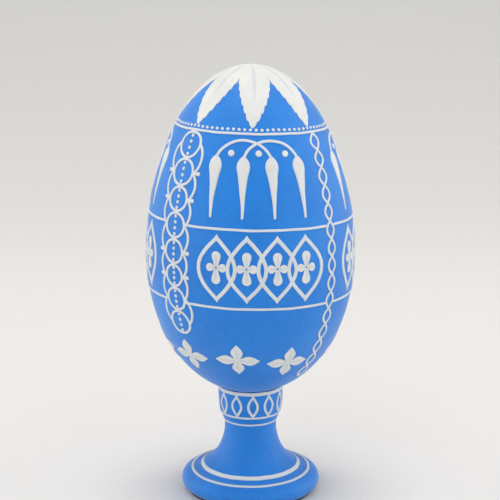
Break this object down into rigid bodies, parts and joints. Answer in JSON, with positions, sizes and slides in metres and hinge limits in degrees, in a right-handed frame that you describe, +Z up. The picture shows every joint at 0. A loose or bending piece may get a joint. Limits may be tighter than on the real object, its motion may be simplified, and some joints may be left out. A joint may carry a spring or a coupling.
{
  "type": "decorated egg on a stand",
  "caption": "Tall wooden egg with raised white folk ornament, standing loose on a cork ring in the cup of a turned pedestal; it turns in the cup and lifts out.",
  "frame": {"origin": "middle of the felt pad's underside, where the stand rests", "axes": "+Z up along the stand's turning axis; -Y is the front, where the widest panel of ornament faces"},
  "size_m": [0.0716, 0.0716, 0.1474],
  "materials": {
    "blue_egg": "turned wood under a chalky matte blue ground",
    "blue_stand": "turned wood under a chalky matte blue ground",
    "white_relief": "warm white relief paste, matte, standing proud of the ground",
    "cork": "fine cork",
    "black_felt": "pressed black felt"
  },
  "bodies": {
    "stand": {"turned_stand": "blue_stand", "rim_line": "white_relief", "cup_oval_band": "white_relief", "neck_line": "white_relief", "inner_foot_line": "white_relief", "outer_foot_line": "white_relief", "felt_pad": "black_felt"},
    "seat": {"cork_seat_ring": "cork"},
    "egg": {"egg_body": "blue_egg", "leaf_crown": "white_relief", "upper_ring_line": "white_relief", "front_middle_line": "white_relief", "front_lower_line": "white_relief", "front_drops_and_arches": "white_relief", "front_ovals": "white_relief", "right_middle_line": "white_relief", "right_lower_line": "white_relief", "right_drops_and_arches": "white_relief", "right_ovals": "white_relief", "back_middle_line": "white_relief", "back_lower_line": "white_relief", "back_drops_and_arches": "white_relief", "back_ovals": "white_relief", "left_middle_line": "white_relief", "left_lower_line": "white_relief", "left_drops_and_arches": "white_relief", "left_ovals": "white_relief", "chain_strip_1": "white_relief", "chain_strip_2": "white_relief", "braid_strip_1": "white_relief", "braid_strip_2": "white_relief", "flower_1": "white_relief", "flower_2": "white_relief", "flower_3": "white_relief", "flower_4": "white_relief", "flower_5": "white_relief", "flower_6": "white_relief", "flower_7": "white_relief", "flower_8": "white_relief", "flower_9": "white_relief", "flower_10": "white_relief"}
  },
  "joints": [
    {"name": "egg_turn", "type": "hinge", "parent": "stand", "child": "seat", "pos_m": [0, 0, 0.0344], "axis": [0, 0, 1], "continuous": true},
    {"name": "egg_lift", "type": "slide", "parent": "seat", "child": "egg", "axis": [0, 0, 1], "range_m": [0, 0.045]}
  ]
}
